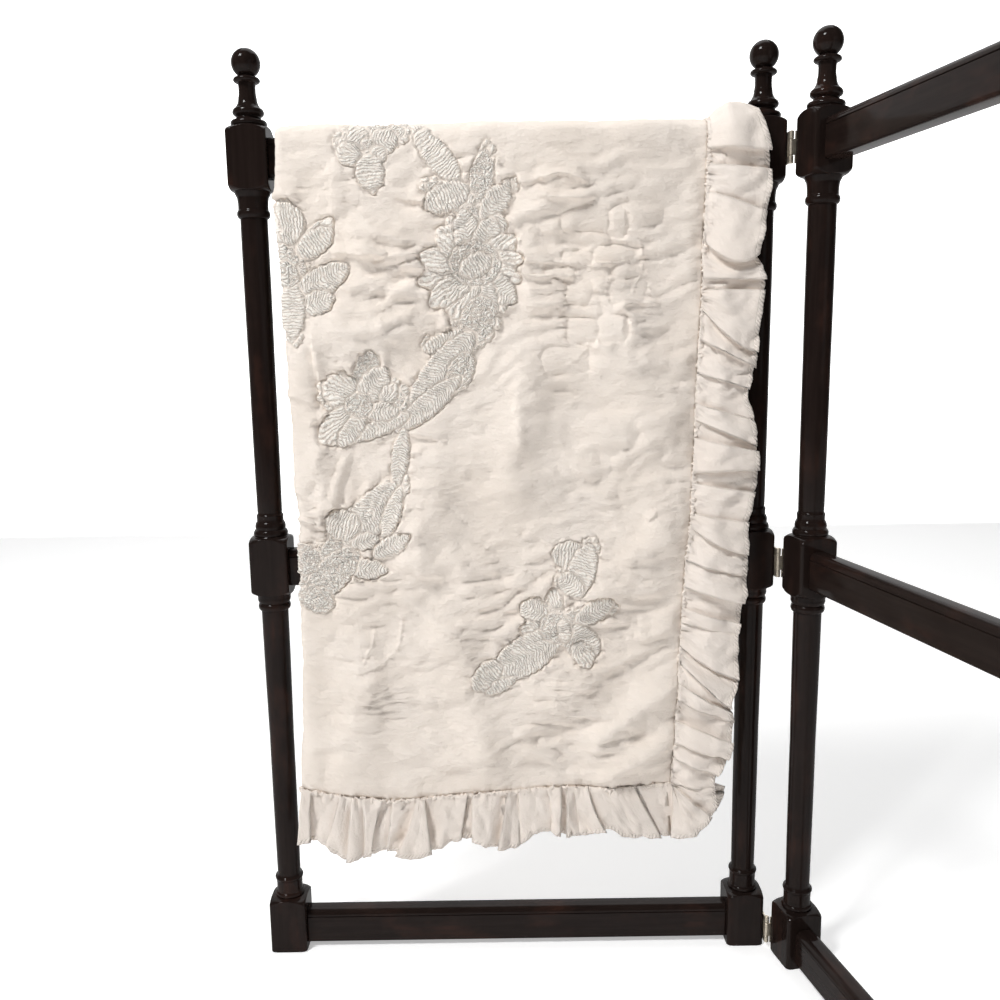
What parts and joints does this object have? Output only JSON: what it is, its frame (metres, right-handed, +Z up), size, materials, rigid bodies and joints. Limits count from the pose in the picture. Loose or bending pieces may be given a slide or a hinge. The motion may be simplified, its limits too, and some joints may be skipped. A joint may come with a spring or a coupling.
{
  "type": "baby coverlet on a folding quilt rack",
  "caption": "White quilted baby coverlet with a gathered ruffle, folded lengthwise and draped over the top rail of a dark turned-post quilt rack with a hinged wing panel.",
  "frame": {"origin": "middle of the bounding box, at floor level, with the wing at its rest angle", "axes": "+Z up, X along the main panel that carries the cloth with the fold edge at -X, -Y towards the viewer and the wing's far post"},
  "size_m": [0.672, 0.5778, 0.914],
  "materials": {
    "dark_wood": "dark brown stain under satin lacquer",
    "aged_brass": "dull, slightly tarnished",
    "quilted_cotton": "off-white cotton, raised stitched flower sprays",
    "ruffle_cotton": "off-white thin cotton, gathered, with a stitched hem"
  },
  "bodies": {
    "stand": {"coverlet_body": "quilted_cotton", "coverlet_ruffle": "ruffle_cotton", "post_left": "dark_wood", "post_right": "dark_wood", "rail_top": "dark_wood", "rail_middle": "dark_wood", "rail_bottom": "dark_wood", "hinge_top_stand_leaf": "aged_brass", "hinge_middle_stand_leaf": "aged_brass", "hinge_low_stand_leaf": "aged_brass"},
    "wing": {"wing_post_near": "dark_wood", "wing_post_far": "dark_wood", "wing_rail_top": "dark_wood", "wing_rail_middle": "dark_wood", "wing_rail_bottom": "dark_wood", "hinge_top_wing_leaf": "aged_brass", "hinge_middle_wing_leaf": "aged_brass", "hinge_low_wing_leaf": "aged_brass"}
  },
  "joints": [
    {"name": "wing_hinge", "type": "hinge", "parent": "stand", "child": "wing", "pos_m": [0.19069, 0.22587, 0.418], "axis": [0, 0, 1], "range_deg": [-60, 78]}
  ]
}
